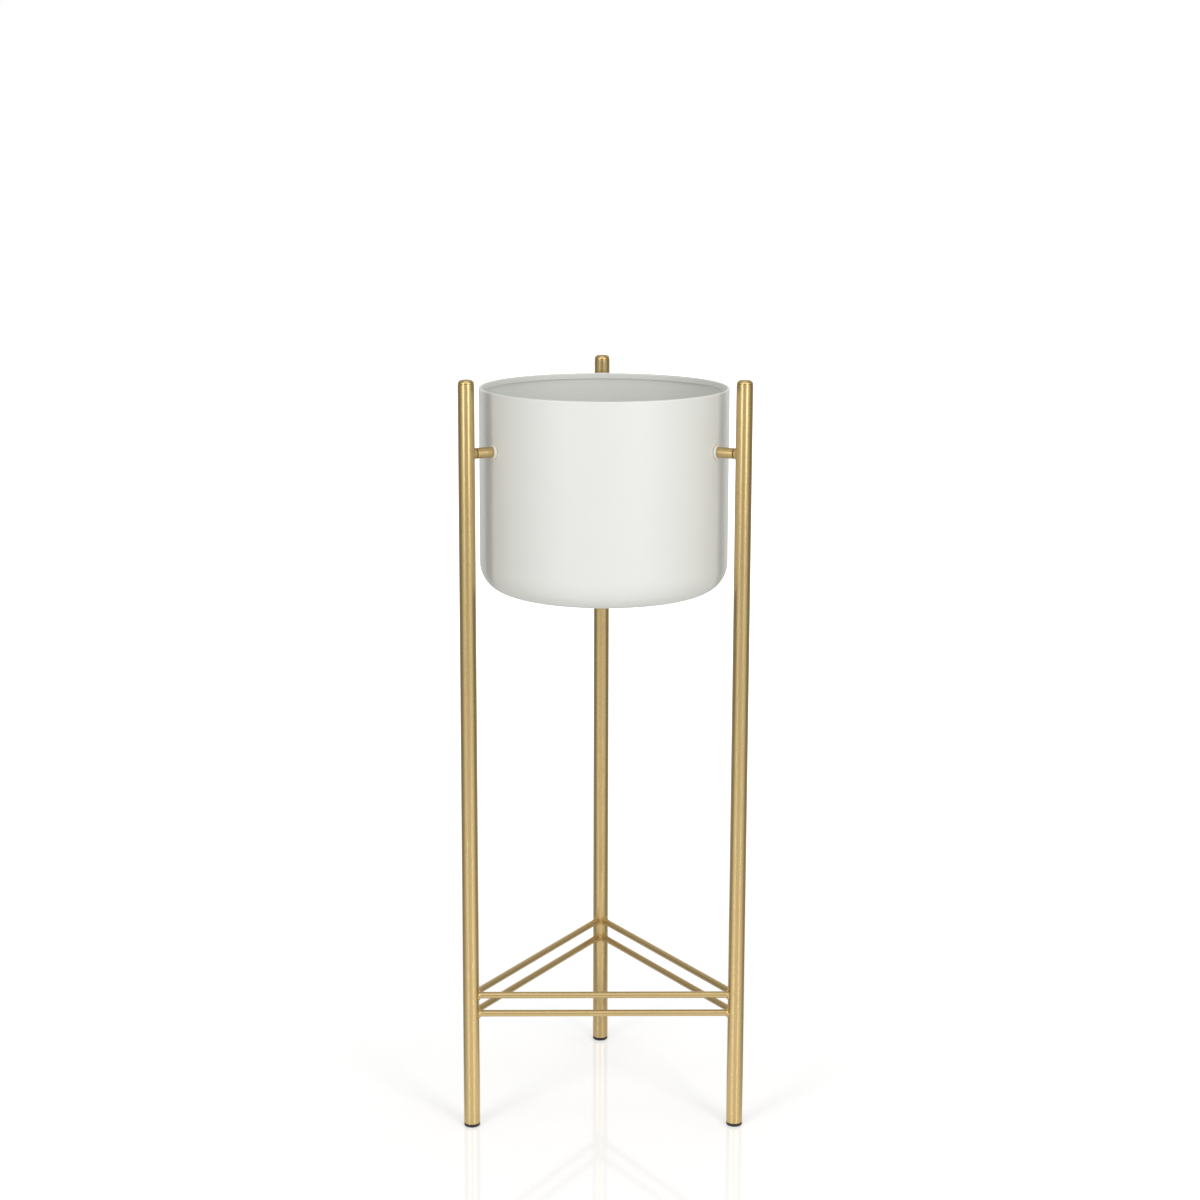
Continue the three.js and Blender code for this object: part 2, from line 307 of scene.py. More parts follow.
# %% [markdown]
# The floor is a large plane of glossy white board. Near the stand it is lit by the lamps, so
# it keeps the soft shadow. A weak glow helps there, a little stronger towards the back, where
# less of their light lands. Further out the lamps no longer reach, and a full glow keeps the
# floor as white to the camera as the world behind it.
#
# The gold mirrors the floor too. In the photograph the tubes are bright near the ground and
# duller half way up, where they mirror the floor two metres in front. So in reflections the
# glow dips at that distance, and to the sides the cards darken the floor.

# %% Lay the floor
FLOOR_HALF = 30.0
FLOOR_WHITE = 0.86
FLOOR_ROUGHNESS = 0.07
FLOOR_SPECULAR = 0.5
GLOW_NEAR = 0.35
GLOW_SLOPE = 0.14
GLOW_FAR = 1.0
LIT_RADIUS = 0.5
FADED_RADIUS = 2.2
MIRRORED_NEAR = 0.38
MIRRORED_FAR = 0.26
POOL_SLOPE = (0.2, 2.1)
ROOM_SLOPE = (2.6, 4.2)
CARD_SHADE = 0.5
CARD_FRONT = (-0.25, 0.75)
CARD_BACK = (0.3, 0.95)
BACK_OPENING = 0.7

floor_mesh = bpy.data.meshes.new("studio_floor")
floor_sides = ((-1, -1), (1, -1), (1, 1), (-1, 1))
floor_corners = [(FLOOR_HALF * x, FLOOR_HALF * y, 0) for x, y in floor_sides]
floor_mesh.from_pydata(floor_corners, [], [(0, 1, 2, 3)])
floor = add_object("studio_floor", floor_mesh)
floor_paint = bpy.data.materials.new("white_board")
floor_paint.use_nodes = True
board = floor_paint.node_tree
board_shader = board.nodes["Principled BSDF"]
board_shader.inputs["Roughness"].default_value = FLOOR_ROUGHNESS
board_shader.inputs["Specular IOR Level"].default_value = FLOOR_SPECULAR
floor_x, floor_y = apart(board, add_node(board, "ShaderNodeTexCoord").outputs["Object"])[:2]
floor_reach = (floor_x * floor_x + floor_y * floor_y).root()
floor_rays = add_node(board, "ShaderNodeLightPath")
is_seen = Sum(board, floor_rays.outputs["Is Camera Ray"]).larger(
    Sum(board, floor_rays.outputs["Is Transmission Ray"])
)
is_mirrored = Sum(board, floor_rays.outputs["Is Glossy Ray"])
near_glow = GLOW_NEAR + GLOW_SLOPE * floor_y
glow = near_glow + (GLOW_FAR - near_glow) * floor_reach.share(LIT_RADIUS, FADED_RADIUS)
pool = MIRRORED_NEAR * (1 - floor_reach.share(*POOL_SLOPE))
pool = pool + MIRRORED_FAR * floor_reach.share(*ROOM_SLOPE)
behind = floor_y / floor_reach.larger(NEVER_ZERO)
off_card = (behind * -1).share(*CARD_FRONT).larger(behind.share(*CARD_BACK) * BACK_OPENING)
shade = FLOOR_WHITE * (1 - is_mirrored * (1 - off_card) * CARD_SHADE)
feed(board, board_shader.inputs["Base Color"], together(board, shade, shade, shade))
board_shader.inputs["Emission Color"].default_value = (1, 1, 1, 1)
mirrored_glow = is_mirrored * off_card * pool
feed(board, board_shader.inputs["Emission Strength"], is_seen * glow + mirrored_glow)
floor.data.materials.append(floor_paint)
print("floor reaches", FLOOR_HALF, "m each way")

# %% [markdown]
# ## The lamps
#
# Each gold tube shows two bright lines with a darker one between them. On a round mirror a
# line three tenths of the way out from the middle comes from a lamp about 35 degrees to the
# side of the camera. So two tall softboxes stand there. The right one is a little stronger
# and nearer to the camera, because the pot is brightest right of its middle. A broad soft
# lamp overhead fills in the rim and the caps.

# %% Hang the lamps
SOFTBOX_SIZE = (0.66, 1.5)
SOFTBOX_DISTANCE = 2.3
SOFTBOX_HEIGHT = 1.13
AIM = Vector((0, STAND_AXIS.y, 0.5))


def softbox(name, azimuth, power, size=SOFTBOX_SIZE, height=SOFTBOX_HEIGHT,
            distance=SOFTBOX_DISTANCE):
    """A soft rectangular lamp; azimuth 0 is on the camera's side, and 90 on the right."""
    data = bpy.data.lights.new(name, "AREA")
    data.shape = "RECTANGLE"
    data.size, data.size_y = size
    data.energy = power
    lamp = add_object(name, data)
    angle = math.radians(azimuth)
    away = Vector((math.sin(angle), -math.cos(angle), 0))
    lamp.location = STAND_AXIS + distance * away + Vector((0, 0, height))
    lamp.rotation_euler = (AIM - lamp.location).to_track_quat("-Z", "Y").to_euler()
    lamp.visible_camera = False


softbox("softbox_left", azimuth=-36, power=14)
softbox("softbox_right", azimuth=32, power=16.5)
softbox("softbox_top", azimuth=0, power=6, size=(1.6, 1.6), height=2.4, distance=0.25)

# %% [markdown]
# ## Finishes
#
# A finish is more than a colour. Sprayed paint dries with a very fine waviness, called
# orange peel. It is a little thinner on sharp edges, and its gloss is never quite even. The
# waviness and the gloss are noise patterns on the object's own coordinates, in metres, so
# that they have their real size and stay still when the camera moves. The rounds made below
# also carry two values of their own: how sharply the edge bends there, which is where the
# paint is thin, and how far the point is from the axis that it was turned about.

# %% Helpers for finishes


def new_finish(name):
    """A material with its tree, its shader and the object's own coordinates."""
    material = bpy.data.materials.new(name)
    material.use_nodes = True
    tree = material.node_tree
    shader = tree.nodes["Principled BSDF"]
    place = add_node(tree, "ShaderNodeTexCoord").outputs["Object"]
    return material, tree, shader, place


def grain(tree, place, spacing, detail=2.0):
    """Soft noise round 0, with bumps about as far apart as the spacing says."""
    texture = add_node(
        tree, "ShaderNodeTexNoise", {"Vector": place, "Scale": 1 / spacing, "Detail": detail}
    )
    return Sum(tree, texture.outputs[0]) - 0.5


def specks(tree, place, spacing):
    """A different value from 0 to 1 for each tiny cell, as for flakes in a paint."""
    texture = add_node(tree, "ShaderNodeTexVoronoi", {"Vector": place, "Scale": 1 / spacing})
    return apart(tree, texture.outputs["Color"])[0]


def worn_edge(tree):
    """0 on plain faces, up to 1 where the surface turns a sharp corner."""
    return Sum(tree, add_node(tree, "ShaderNodeAttribute", attribute_name="edge").outputs["Fac"])


def shaded(tree, colour, brightness):
    """A colour times a sum that stays near 1."""
    node = add_node(tree, "ShaderNodeVectorMath", {0: colour}, operation="SCALE")
    feed(tree, node.inputs["Scale"], brightness)
    return node.outputs[0]


def relief(tree, shader, height, depth):
    """Bumps on the surface, as deep as the depth says for a height that goes from 0 to 1."""
    bump = add_node(tree, "ShaderNodeBump", {"Strength": 1.0, "Distance": depth, "Height": height})
    feed(tree, shader.inputs["Normal"], bump.outputs[0])


# %% [markdown]
# **Gold.** The posts, rods and arms are steel with a satin gold lacquer, full of fine metal
# flake. It behaves as a metal, so the colour is in its reflections. The flake makes each
# tiny cell a little lighter or darker, and edges that get handled are slightly brighter.

# %% Satin gold lacquer
GOLD = (0.585, 0.435, 0.203)

gold_paint, tree, shader, place = new_finish("satin_gold_lacquer")
cloud = grain(tree, place, 60 * MM)
peel = grain(tree, place, 1.6 * MM)
flake = specks(tree, place, 0.22 * MM) - 0.5
worn = worn_edge(tree)
brightness = 1 + 0.05 * cloud + 0.05 * flake + 0.10 * worn
feed(tree, shader.inputs["Base Color"], shaded(tree, GOLD, brightness))
feed(tree, shader.inputs["Roughness"], 0.27 + 0.06 * cloud + 0.05 * flake - 0.04 * worn)
shader.inputs["Metallic"].default_value = 1.0
relief(tree, shader, peel + 0.15 * flake, 0.012 * MM)
print("made", gold_paint.name)

# %% [markdown]
# **White.** The pot is powder-coated: a warm off-white with a low gloss and a soft orange
# peel. Powder pulls back from sharp edges, so the rim is a touch brighter and glossier.

# %% Off-white powder coat
OFF_WHITE = (0.80, 0.808, 0.768)

white_paint, tree, shader, place = new_finish("off_white_powder_coat")
cloud = grain(tree, place, 90 * MM)
peel = grain(tree, place, 2.2 * MM, detail=3.0)
dust = grain(tree, place, 0.35 * MM)
worn = worn_edge(tree)
feed(tree, shader.inputs["Base Color"],
     shaded(tree, OFF_WHITE, 1 + 0.02 * cloud + 0.015 * dust + 0.03 * worn))
feed(tree, shader.inputs["Roughness"], 0.42 + 0.08 * cloud + 0.10 * dust - 0.10 * worn)
relief(tree, shader, peel + 0.2 * dust, 0.02 * MM)
print("made", white_paint.name)

# %% [markdown]
# **Black.** The foot plugs are moulded plastic with a fine spark-eroded texture. The floor
# has polished the rounded edge a little.

# %% Moulded black plastic
BLACK = (0.016, 0.015, 0.014)

black_plastic, tree, shader, place = new_finish("moulded_black_plastic")
texture = grain(tree, place, 0.45 * MM, detail=4.0)
cloud = grain(tree, place, 9 * MM)
worn = worn_edge(tree)
feed(tree, shader.inputs["Base Color"],
     shaded(tree, BLACK, 1 + 0.5 * cloud + 0.4 * texture + 0.5 * worn))
feed(tree, shader.inputs["Roughness"], 0.52 + 0.2 * texture - 0.12 * worn)
relief(tree, shader, texture, 0.04 * MM)
print("made", black_plastic.name)

# %% [markdown]
# **Nylon.** The washers between the arms and the pot are natural nylon: milky, with light
# that goes a short way in and comes out again, which is what subsurface does.

# %% Milky nylon
NYLON = (0.78, 0.77, 0.68)

milky_nylon, tree, shader, place = new_finish("milky_nylon")
cloud = grain(tree, place, 3 * MM)
worn = worn_edge(tree)
feed(tree, shader.inputs["Base Color"], shaded(tree, NYLON, 1 + 0.06 * cloud + 0.05 * worn))
feed(tree, shader.inputs["Roughness"], 0.38 + 0.1 * cloud)
shader.inputs["Subsurface Weight"].default_value = 0.45
shader.inputs["Subsurface Radius"].default_value = (1.0, 0.95, 0.8)
shader.inputs["Subsurface Scale"].default_value = 1.2 * MM
relief(tree, shader, cloud, 0.02 * MM)
print("made", milky_nylon.name)

# %% [markdown]
# **Steel.** The screws and the washers under their heads are zinc-plated. Fine rings from
# the lathe run round them, so the noise that draws the rings reads only the distance from
# the turning axis.

# %% Zinc-plated steel
ZINC = (0.60, 0.61, 0.62)

plated_steel, tree, shader, place = new_finish("zinc_plated_steel")
turned_radius = add_node(tree, "ShaderNodeAttribute", attribute_name="turned_radius")
rings = grain(tree, together(tree, Sum(tree, turned_radius.outputs["Fac"]), 0, 0), 0.18 * MM, 4.0)
cloud = grain(tree, place, 4 * MM)
worn = worn_edge(tree)
feed(tree, shader.inputs["Base Color"],
     shaded(tree, ZINC, 1 + 0.10 * cloud + 0.08 * rings + 0.10 * worn))
feed(tree, shader.inputs["Roughness"], 0.27 + 0.12 * cloud + 0.10 * rings - 0.05 * worn)
shader.inputs["Metallic"].default_value = 1.0
relief(tree, shader, rings, 0.02 * MM)
print("made", plated_steel.name)

# %% [markdown]
# ## A lathe
#
# Posts, caps, plugs, sleeves, washers, screw heads and the pot are all rounds. They could
# each be a cylinder with modifiers on it. A small lathe of our own is better here, because
# it gives the edges their true radii and lets an end follow the round of a post.
#
# A profile is a list of points: a distance from the axis, and a place along it. Either may
# be a rule instead of a number. A radius rule gets the angle, which makes the six flats of a
# screw's socket. A place rule gets how far to the side the point is, which makes the saddle
# where an arm meets a post.
#
# Smooth shading leaks from a bend into the long flat face beside it. Modellers stop that
# with holding rings close to the bend, and the lathe adds them by itself.

# %% The lathe
HOLD = 0.35 * MM
LONG_RUN = 4 * HOLD
DRILL_SIDES = 32
WEAR_RADIUS = 0.8 * MM
SHARP_ANGLE = math.radians(32)


def arc(centre_radius, centre_place, radius, start, end, steps, rise=None):
    """Points on a round or oval bend. Angles are in degrees, and 0 points outwards."""
    points = []
    for step in range(steps + 1):
        angle = math.radians(start + (end - start) * step / steps)
        points.append((centre_radius + radius * math.cos(angle),
                       centre_place + (rise or radius) * math.sin(angle)))
    return points


def plain(value):
    """A rule's value straight above the axis, or the number itself."""
    return value(0.0) if callable(value) else value


def held(profile, closed):
    """The profile with holding points near both ends of each long straight run."""
    result = []
    for index, point in enumerate(profile):
        result.append(point)
        last = index == len(profile) - 1
        if last and not closed:
            break
        following = profile[(index + 1) % len(profile)]
        if any(callable(value) for value in (*point, *following)):
            continue
        run = math.dist(point, following)
        if run > LONG_RUN:
            for share in (HOLD / run, 1 - HOLD / run):
                result.append(tuple(a + (b - a) * share for a, b in zip(point, following)))
    return result


def edge_values(profile, closed):
    """How tight the bend is at each point of a profile: 0 is flat, 1 is a sharp corner."""
    flat = [(plain(radius), plain(place)) for radius, place in profile]
    area = sum(a[0] * b[1] - b[0] * a[1] for a, b in zip(flat, flat[1:] + flat[:1]))
    values = []
    for index, here in enumerate(flat):
        loose_end = index in (0, len(flat) - 1) and not closed
        before, after = flat[index - 1], flat[(index + 1) % len(flat)]
        into = (here[0] - before[0], here[1] - before[1])
        out = (after[0] - here[0], after[1] - here[1])
        length = (math.hypot(*into) + math.hypot(*out)) / 2
        turn = math.atan2(into[0] * out[1] - into[1] * out[0], into[0] * out[0] + into[1] * out[1])
        bulge = turn * (1 if area > 0 else -1)
        tight = 0 if loose_end or not length else WEAR_RADIUS * bulge / length
        values.append(min(max(tight, 0), 1))
    return values


def turned_mesh(name, profile, sides, place):
    """Turns a profile about local Z and puts the result in its place."""
    closed = plain(profile[0][0]) > 0
    profile = held(profile, closed)
    mesh = bmesh.new()
    edge_layer = mesh.verts.layers.float.new("edge")
    radius_layer = mesh.verts.layers.float.new("turned_radius")
    rings = []
    for (radius, station), edge in zip(profile, edge_values(profile, closed)):
        count = 1 if plain(radius) == 0 else sides
        ring = []
        for side in range(count):
            angle = 2 * math.pi * side / sides
            reach = radius(angle) if callable(radius) else radius
            x, y = reach * math.cos(angle), reach * math.sin(angle)
            z = station(x) if callable(station) else station
            vertex = mesh.verts.new(place @ Vector((x, y, z)))
            vertex[edge_layer] = edge
            vertex[radius_layer] = reach
            ring.append(vertex)
        rings.append(ring)
    pairs = list(zip(rings, rings[1:]))
    if closed:
        pairs.append((rings[-1], rings[0]))
    for lower, upper in pairs:
        for side in range(sides):
            corners = [lower[side % len(lower)], lower[(side + 1) % len(lower)],
                       upper[(side + 1) % len(upper)], upper[side % len(upper)]]
            mesh.faces.new(list(dict.fromkeys(corners)))
    if mesh.calc_volume(signed=True) < 0:
        bmesh.ops.reverse_faces(mesh, faces=mesh.faces[:])
    result = bpy.data.meshes.new(name)
    mesh.to_mesh(result)
    mesh.free()
    return result


def finish_piece(name, mesh, finish, slot, *nodes):
    """Shades a finished mesh and lets it stand for the nodes of the frame."""
    mesh.shade_smooth()
    mesh.set_sharp_from_angle(angle=SHARP_ANGLE)
    if not mesh.materials:
        mesh.materials.append(finish)
    mesh.name = name
    piece = add_object(name, mesh)
    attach(piece, "root")
    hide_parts(*nodes)
    return piece


def upright(x, y):
    """A place whose turning axis stands upright at x, y."""
    return Matrix.Translation((x, y, 0))


def along_arm(name):
    """A place whose turning axis runs out along an arm. X is to the side and Y is up."""
    angle = direction(name)
    turn = Matrix((
        (-math.sin(angle), 0, math.cos(angle), 0),
        (math.cos(angle), 0, math.sin(angle), 0),
        (0, 1, 0, 0),
        (0, 0, 0, 1),
    ))
    return Matrix.Translation(STAND_AXIS + Vector((0, 0, ARM_HEIGHT))) @ turn


def drilled(mesh, radius, start, end, names):
    """A mesh with a round hole cut through it along each named arm."""
    holder = add_object("to_drill", mesh)
    drills = []
    for name in names:
        profile = [(0, start), (radius, start), (radius, end), (0, end)]
        drill_mesh = turned_mesh("drill", profile, DRILL_SIDES, along_arm(name))
        drills.append(add_object("drill", drill_mesh))
        cut = holder.modifiers.new("hole", "BOOLEAN")
        cut.operation = "DIFFERENCE"
        cut.solver = "EXACT"
        cut.object = drills[-1]
    depsgraph = bpy.context.evaluated_depsgraph_get()
    result = bpy.data.meshes.new_from_object(holder.evaluated_get(depsgraph))
    for leftover in (holder, *drills):
        bpy.data.objects.remove(leftover)
    result.materials.clear()
    return result


# %% [markdown]
# ## The pot
#
# The pot is one sheet of steel, 1 mm thick. It is drawn to a flat floor with a wide round
# corner, and its rim is folded inwards as an open hem, which makes a safe, stiff edge. In
# the photograph the hem is the pale band just inside the back of the rim, with a dark line
# under it. So the profile follows the sheet all the way round: out along the underside, up
# the wall, over the fold, down the lip, and back inside the gap to the floor.
#
# Each arm's screw passes through a hole in the wall.

# %% Make the pot
POT_WALL = 1.0 * MM
POT_CORNER = 28 * MM
HEM_HEIGHT = 6.0 * MM
HEM_GAP = 0.8 * MM
SCREW_HOLE = 3.3 * MM
HOLE_BAND = 5.0 * MM
POT_SIDES = 192
CORNER_STEPS = 24
FOLD_STEPS = 14
LIP_STEPS = 6
DRILL_REACH = 5.0 * MM
HEM_FOLD = POT_WALL + HEM_GAP / 2

pot_low, pot_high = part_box("pot")
pot_floor, pot_rim = pot_low.z, pot_high.z
pot_inner = POT_RADIUS - POT_WALL
corner_radius, corner_place = POT_RADIUS - POT_CORNER, pot_floor + POT_CORNER
fold_radius, fold_place = POT_RADIUS - HEM_FOLD, pot_rim - HEM_FOLD
lip_inner = POT_RADIUS - 2 * HEM_FOLD
lip_end = pot_rim - HEM_HEIGHT
band = (ARM_HEIGHT - HOLE_BAND, ARM_HEIGHT + HOLE_BAND)

pot_profile = [
    (0, pot_floor),
    *arc(corner_radius, corner_place, POT_CORNER, -90, 0, CORNER_STEPS),
    *((POT_RADIUS, place) for place in band),
    *arc(fold_radius, fold_place, HEM_FOLD, 0, 180, FOLD_STEPS),
    *arc(lip_inner + POT_WALL / 2, lip_end + POT_WALL / 2, POT_WALL / 2, 180, 360, LIP_STEPS),
    *arc(fold_radius, fold_place, HEM_GAP / 2, 180, 0, LIP_STEPS),
    *((pot_inner, place) for place in reversed(band)),
    *arc(corner_radius, corner_place, POT_CORNER - POT_WALL, 0, -90, CORNER_STEPS),
    (0, pot_floor + POT_WALL),
]
pot_mesh = turned_mesh("pot", pot_profile, POT_SIDES, upright(STAND_AXIS.x, STAND_AXIS.y))
pot_mesh = drilled(
    pot_mesh, SCREW_HOLE, pot_inner - DRILL_REACH, POT_RADIUS + DRILL_REACH, POSTS
)
pot = finish_piece("hemmed_pot", pot_mesh, white_paint, "white_paint", "pot")
print("pot faces:", len(pot.data.polygons))

# %% [markdown]
# ## The posts, their caps and their feet
#
# Each post is a length of 16 mm steel tube. A cap with a rounded shoulder closes its
# top, and a black plastic plug closes its foot. The ends of the tube are chamfered, and so
# is the cap. The two small chamfers together make the fine dark line that shows where the
# cap sits on the tube.

# %% Make the posts and caps
TUBE_WALL = 1.2 * MM
TUBE_BORE = POST_RADIUS - TUBE_WALL
TUBE_FOOT_CHAMFER = 0.55 * MM
TUBE_BORE_CHAMFER = 0.45 * MM
TUBE_TOP_CHAMFER = 0.45 * MM
CAP_CHAMFER = 0.45 * MM
CAP_SHOULDER = 5.0 * MM
CAP_SHOULDER_START = 7
CAP_STEPS = 14
CAP_CROWN = 0.15 * MM
CAP_WALL = 1.4 * MM
NECK_HOLE = 4.8 * MM
NECK_BAND = 6.2 * MM
SPIGOT_SLIDE = 0.3 * MM
POST_SIDES = 72


def tube_profile(foot, top):
    """A tube's wall, with rings that keep the cuts round the neck's hole under its collar."""
    band = (ARM_HEIGHT - NECK_BAND, ARM_HEIGHT + NECK_BAND)
    return [
        (TUBE_BORE, foot + TUBE_BORE_CHAMFER),
        (TUBE_BORE + TUBE_BORE_CHAMFER, foot),
        (POST_RADIUS - TUBE_FOOT_CHAMFER, foot),
        (POST_RADIUS, foot + TUBE_FOOT_CHAMFER),
        *((POST_RADIUS, place) for place in band),
        (POST_RADIUS, top - TUBE_TOP_CHAMFER),
        (POST_RADIUS - TUBE_TOP_CHAMFER, top),
        (TUBE_BORE, top),
        *((TUBE_BORE, place) for place in reversed(band)),
    ]


def cap_profile(joint, top, foot):
    """A domed cap on a hollow spigot that presses into the tube."""
    spigot = TUBE_BORE - SPIGOT_SLIDE
    flat_radius = POST_RADIUS - CAP_SHOULDER
    rise = top - CAP_CROWN - joint
    shoulder = arc(flat_radius, joint, CAP_SHOULDER, CAP_SHOULDER_START, 90, CAP_STEPS, rise)
    return [
        (0, joint - CAP_WALL),
        (spigot - CAP_WALL, joint - CAP_WALL),
        (spigot - CAP_WALL, foot),
        (spigot, foot),
        (spigot, joint),
        (POST_RADIUS - CAP_CHAMFER, joint),
        *shoulder,
        (flat_radius / 2, top - CAP_CROWN / 4),
        (0, top),
    ]


for name, post in POSTS.items():
    tube_low, tube_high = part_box(f"post_{name}")
    cap_low, cap_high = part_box(f"post_cap_{name}")
    place = upright(post.x, post.y)
    tube = turned_mesh("tube", tube_profile(tube_low.z, tube_high.z), POST_SIDES, place)
    tube = drilled(tube, NECK_HOLE, POST_CIRCLE - 2 * POST_RADIUS, POST_CIRCLE, [name])
    finish_piece(f"tube_post_{name}", tube, gold_paint, "gold_paint", f"post_{name}")
    cap = turned_mesh("cap", cap_profile(tube_high.z, cap_high.z, cap_low.z), POST_SIDES, place)
    finish_piece(f"rounded_cap_{name}", cap, gold_paint, "gold_paint", f"post_cap_{name}")
print("posts and caps:", 2 * len(POSTS))

# %% [markdown]
# ## Geometry Nodes trees
#
# Some shapes are a rule more than a drawing: ribs at an even pitch, weld beads round a
# joint, a thread up a screw, or a rod whose ends fit a round post. Geometry Nodes suit them,
# because a tree keeps the rule and its sizes stay open as named inputs. Each tree below ends
# by making its instances real and setting the material. Its result is then kept as a plain
# mesh, so nothing live is left on the piece.

# %% Helpers for Geometry Nodes


def new_shape_tree(name, sizes):
    """A tree with named inputs. Whole numbers become counts, and the rest are sizes."""
    tree = bpy.data.node_groups.new(name, "GeometryNodeTree")
    tree.is_modifier = True
    sockets = tree.interface
    sockets.new_socket(name="Geometry", in_out="INPUT", socket_type="NodeSocketGeometry")
    for label, value in sizes.items():
        kind = "NodeSocketInt" if isinstance(value, int) else "NodeSocketFloat"
        sockets.new_socket(name=label, in_out="INPUT", socket_type=kind).default_value = value
    sockets.new_socket(name="Material", in_out="INPUT", socket_type="NodeSocketMaterial")
    sockets.new_socket(name="Geometry", in_out="OUTPUT", socket_type="NodeSocketGeometry")
    given = add_node(tree, "NodeGroupInput").outputs
    return tree, given, {label: Sum(tree, given[label]) for label in sizes}


def close_shape_tree(tree, given, *parts):
    """Joins the parts, makes their instances real, sets the material and ends the tree."""
    joined = add_node(tree, "GeometryNodeJoinGeometry")
    for part in parts:
        tree.links.new(part, joined.inputs[0])
    real = add_node(tree, "GeometryNodeRealizeInstances", {0: joined.outputs[0]})
    painted = add_node(
        tree, "GeometryNodeSetMaterial", {0: real.outputs[0], "Material": given["Material"]}
    )
    add_node(tree, "NodeGroupOutput", {0: painted.outputs[0]})


def grown_mesh(tree, sizes, material, place, start=None):
    """Runs a tree and keeps the result as a plain mesh in its place."""
    holder = add_object("to_grow", start or bpy.data.meshes.new("start"))
    modifier = holder.modifiers.new("rule", "NODES")
    modifier.node_group = tree
    values = dict(sizes, Material=material)
    for socket in tree.interface.items_tree:
        if socket.in_out == "INPUT" and socket.name in values:
            modifier[socket.identifier] = values[socket.name]
    depsgraph = bpy.context.evaluated_depsgraph_get()
    result = bpy.data.meshes.new_from_object(holder.evaluated_get(depsgraph))
    bpy.data.objects.remove(holder)
    result.transform(place)
    return result


def reshape(tree, mesh, position):
    """A Set Position node, which moves each point of a mesh to a new position."""
    return add_node(tree, "GeometryNodeSetPosition", {0: mesh, "Position": position}).outputs[0]


# %% [markdown]
# ## Foot plugs
#
# The black foot is all that shows of a plug. Above it a hollow spigot grips the inside of
# the tube with thin slanted ribs. The rib is drawn once, and a line of points carries a copy
# at every step.

# %% Make the foot plugs
PLUG_EDGE = 1.5 * MM
PLUG_STEPS = 8
PLUG_BREAK = 0.2 * MM
PLUG_LEAD = (0.6 * MM, 1.0 * MM)
PLUG_SIDES = 48
PLUG_CORE = TUBE_BORE - SPIGOT_SLIDE - 1.7 * MM
PLUG_BORE = PLUG_CORE - 1.6 * MM
RIB_ROOT = 0.1 * MM
RIB_SIZES = {
    "Rib Count": 3,
    "Rib Pitch": 4.0 * MM,
    "Rib Height": 1.1 * MM,
    "Core Radius": PLUG_CORE,
    "Rib Radius": TUBE_BORE - SPIGOT_SLIDE,
    "First Rib": 7.0 * MM,
}

rib_tree, given, size = new_shape_tree("ribs_on_a_plug", RIB_SIZES)
rib = add_node(rib_tree, "GeometryNodeMeshCone", {
    "Vertices": PLUG_SIDES, "Radius Top": size["Core Radius"] - RIB_ROOT,
    "Radius Bottom": size["Rib Radius"], "Depth": size["Rib Height"],
})
rib_line = add_node(rib_tree, "GeometryNodeMeshLine", {
    "Count": size["Rib Count"],
    "Start Location": together(rib_tree, 0, 0, size["First Rib"]),
    "Offset": together(rib_tree, 0, 0, size["Rib Pitch"]),
})
rib_copies = add_node(rib_tree, "GeometryNodeInstanceOnPoints", {
    "Points": rib_line.outputs[0], "Instance": rib.outputs[0],
})
close_shape_tree(rib_tree, given, given["Geometry"], rib_copies.outputs[0])

for name, post in POSTS.items():
    foot_low, foot_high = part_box(f"foot_plug_{name}")
    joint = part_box(f"post_{name}")[0].z
    plug = turned_mesh("plug", [
        (0, foot_low.z),
        *arc(POST_RADIUS - PLUG_EDGE, foot_low.z + PLUG_EDGE, PLUG_EDGE, -90, 0, PLUG_STEPS),
        (POST_RADIUS, joint - PLUG_BREAK),
        (POST_RADIUS - PLUG_BREAK, joint),
        (PLUG_CORE, joint),
        (PLUG_CORE, foot_high.z - PLUG_LEAD[1]),
        (PLUG_CORE - PLUG_LEAD[0], foot_high.z),
        (PLUG_BORE, foot_high.z),
        (PLUG_BORE, joint),
        (0, joint),
    ], PLUG_SIDES, Matrix.Identity(4))
    ribbed = grown_mesh(rib_tree, RIB_SIZES, black_plastic, upright(post.x, post.y), plug)
    finish_piece(f"ribbed_plug_{name}", ribbed, black_plastic, "black_plastic",
                 f"foot_plug_{name}")
print("foot plugs:", len(POSTS), "with", RIB_SIZES["Rib Count"], "ribs each")

# %% [markdown]
# ## The welded rods
#
# Six rods join the posts, three at each level. Each end is cut to a fish mouth, a hollow
# that fits the round of the post, and then welded and painted over. At full size the weld is
# a small lumpy collar.
#
# The tree starts from a unit cylinder along Z, and moves each of its points by a formula.
# The cylinder's inner half becomes the bare rod. Its outer half becomes the weld's short run,
# where the radius swells, and every point stops where its own side of the rod meets the
# post. Overlapping beads then follow the same saddle round the joint. Their sizes vary at
# random from a fixed seed, so that each run gives the same stand.

# %% Make the welded rods
ROD_SIZES = {
    "Span": POST_SPACING,
    "Post Radius": POST_RADIUS - 0.12 * MM,
    "Rod Radius": 3.25 * MM,
    "Weld Rise": 1.0 * MM,
    "Weld Run": 2.4 * MM,
    "Bead Count": 13,
    "Bead Radius": 1.15 * MM,
    "Seed": 1,
}
BARE_SHARE = 0.5
LUMP_SCALE = 2.3
LUMP_SIZE = 0.8 * MM
WELD_WEAR = 0.3
BEAD_RING = 0.55
BEAD_SINK = 0.35
SMALLEST_BEAD = (0.75, 0.75, 0.75)
LARGEST_BEAD = (1.2, 1.2, 1.2)


def mouth(size, side):
    """How far from the rod's middle its surface meets the post, at a distance to the side."""
    across = (size["Post Radius"] ** 2 - side ** 2).root()
    return size["Span"] * 0.5 - across


